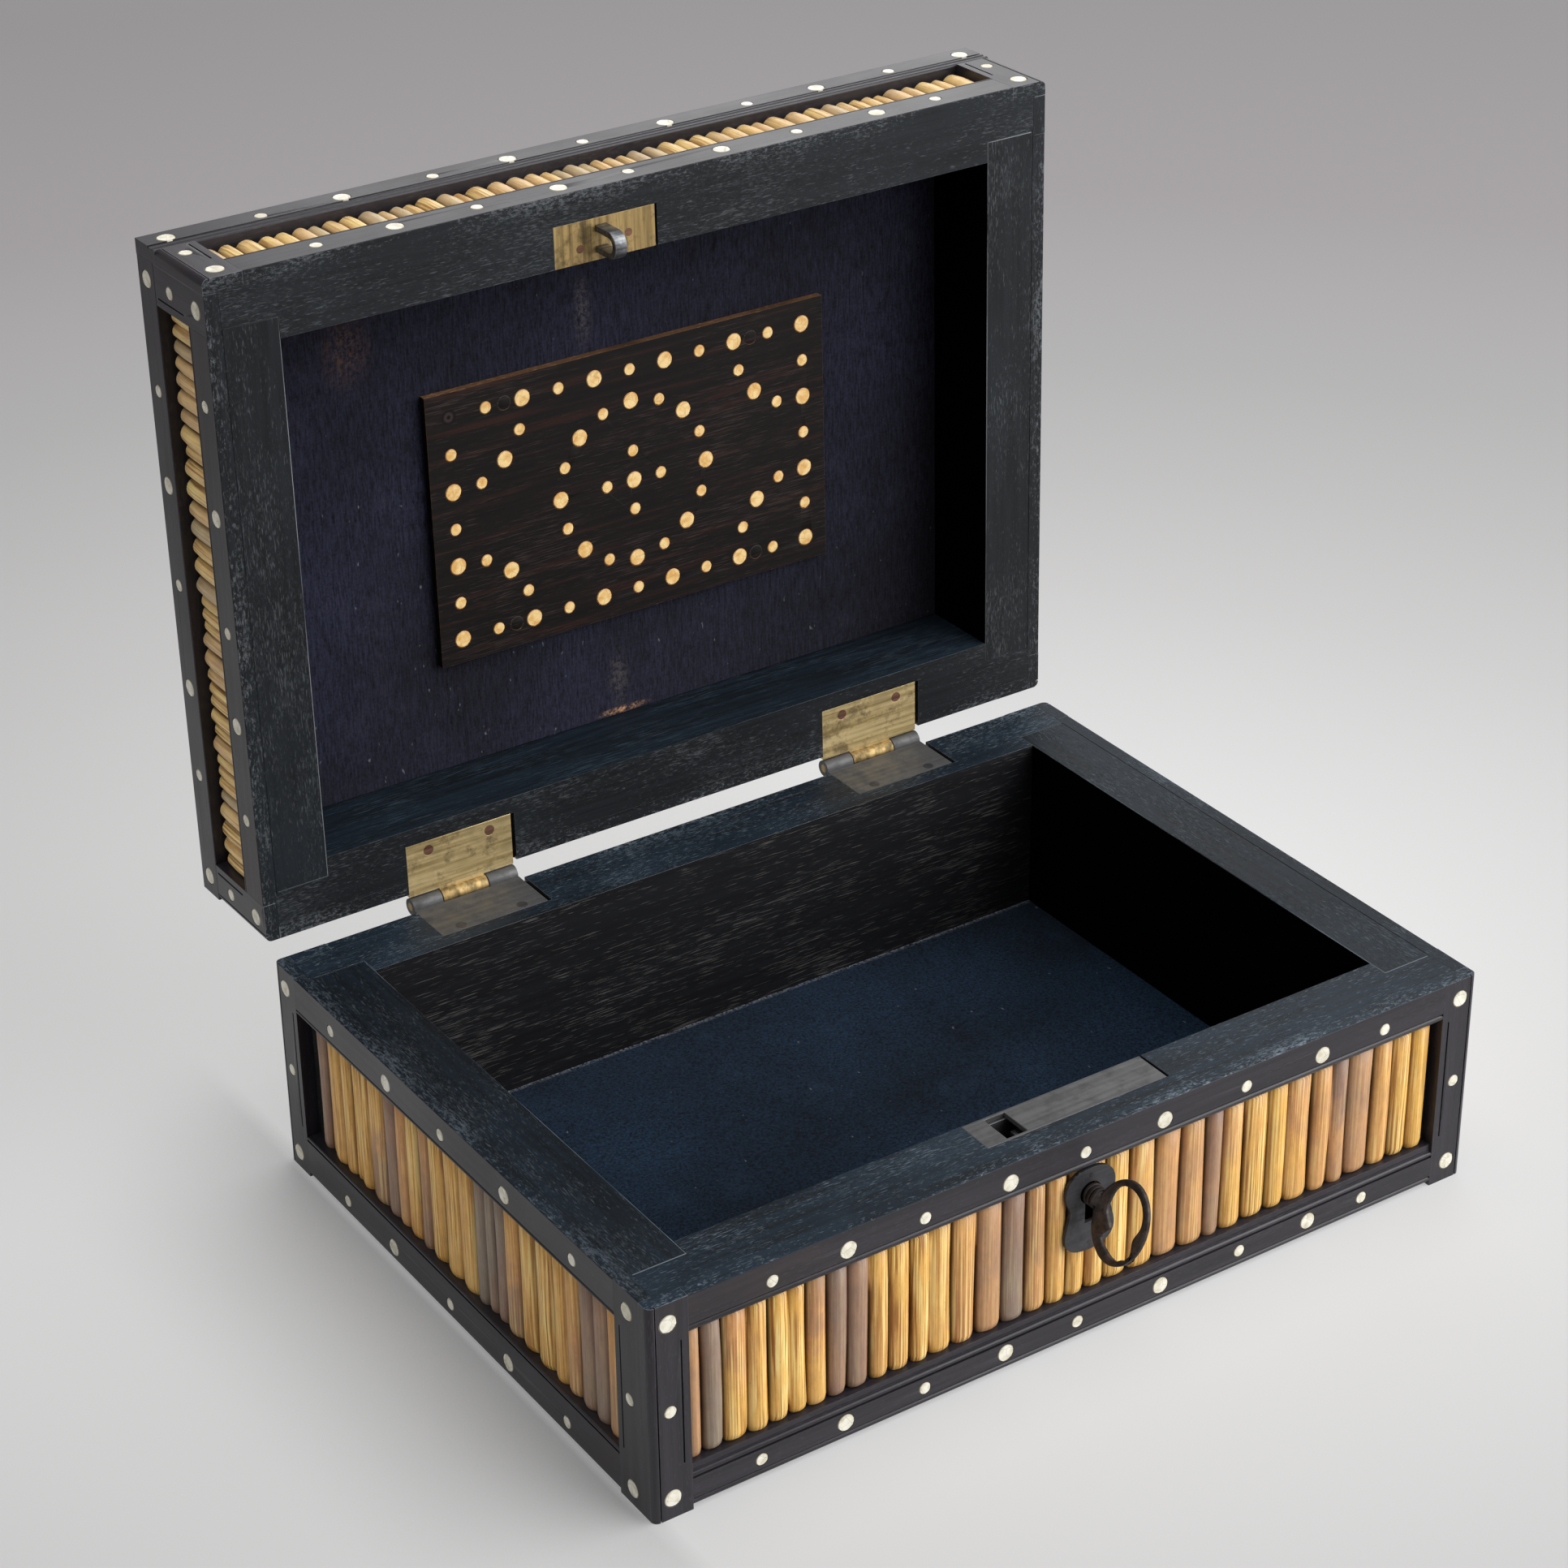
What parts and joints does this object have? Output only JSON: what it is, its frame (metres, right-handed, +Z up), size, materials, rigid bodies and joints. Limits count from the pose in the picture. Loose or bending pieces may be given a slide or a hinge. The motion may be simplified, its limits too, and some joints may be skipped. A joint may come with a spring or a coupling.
{
  "type": "ditty box",
  "caption": "Hinged wooden keepsake box faced with split quills between ebony rails pegged with bone, with an inside lock, a hook staple and a turning key.",
  "frame": {"origin": "centre of the box's footprint, on the plane that the corner stiles stand on", "axes": "+X to the right along the front, +Y to the back where the hinges are, +Z up"},
  "size_m": [0.2602, 0.2563, 0.2566],
  "materials": {
    "ebony": "polished dark wood with worn edges",
    "case_wood": "dark finished board",
    "quill": "split quill, striated tan to brown",
    "bone": "polished bone",
    "amber_bone": "yellowed bone",
    "lining": "dark blue laid lining",
    "plaque_wood": "dark reddish wood",
    "brass": "brushed and stained brass",
    "grey_brass": "greyed brass",
    "copper_nail": "brown nail heads",
    "iron": "dark iron",
    "steel": "worn steel"
  },
  "bodies": {
    "base": {"base_front_board": "case_wood", "base_back_board": "case_wood", "base_left_board": "case_wood", "base_right_board": "case_wood", "base_bottom_board": "case_wood", "base_front_stiles": "ebony", "base_front_rails": "ebony", "base_back_stiles": "ebony", "base_back_rails": "ebony", "base_left_stiles": "ebony", "base_left_rails": "ebony", "base_right_stiles": "ebony", "base_right_rails": "ebony", "base_front_quills": "quill", "base_back_quills": "quill", "base_side_quills": "quill", "base_bone_pegs": "bone", "base_floor_lining": "lining", "hinge_pins": "brass", "left_hinge_base_leaf": "grey_brass", "right_hinge_base_leaf": "grey_brass", "lock_top_plate": "grey_brass", "base_hardware_nails": "copper_nail", "escutcheon": "iron", "escutcheon_pins": "iron", "lock_case": "steel", "lock_back_plate": "steel", "lock_spring": "steel", "lock_drill_pin": "steel"},
    "lid": {"lid_front_board": "case_wood", "lid_back_board": "case_wood", "lid_left_board": "case_wood", "lid_right_board": "case_wood", "lid_top_board": "case_wood", "lid_front_stiles": "ebony", "lid_front_rails": "ebony", "lid_back_stiles": "ebony", "lid_back_rails": "ebony", "lid_left_stiles": "ebony", "lid_left_rails": "ebony", "lid_right_stiles": "ebony", "lid_right_rails": "ebony", "lid_top_frame": "ebony", "lid_front_quills": "quill", "lid_back_quills": "quill", "lid_side_quills": "quill", "lid_top_quills": "quill", "lid_bone_pegs": "bone", "plaque_bone_pegs": "amber_bone", "lid_lining": "lining", "plaque_board": "plaque_wood", "plaque_fixing_pins": "plaque_wood", "left_hinge_lid_leaf": "brass", "right_hinge_lid_leaf": "brass", "hook_plate": "brass", "lid_hardware_nails": "copper_nail", "hook_staple": "steel"},
    "key": {"key": "iron"},
    "bolt": {"lock_bolt": "steel"}
  },
  "joints": [
    {"name": "lid_hinge", "type": "hinge", "parent": "base", "child": "lid", "pos_m": [0, 0.0981, 0.06405], "axis": [1, 0, 0], "range_deg": [0, 91]},
    {"name": "key_turn", "type": "hinge", "parent": "base", "child": "key", "pos_m": [0.0012, -0.0945, 0.045], "axis": [0, -1, 0], "range_deg": [0, 360]},
    {"name": "bolt_slide", "type": "slide", "parent": "base", "child": "bolt", "axis": [-1, 0, 0], "range_m": [0, 0.0052]}
  ],
  "couplings": [
    {"joint": "key_turn", "follows": "bolt_slide", "rad_per_m": 1208.3}
  ]
}
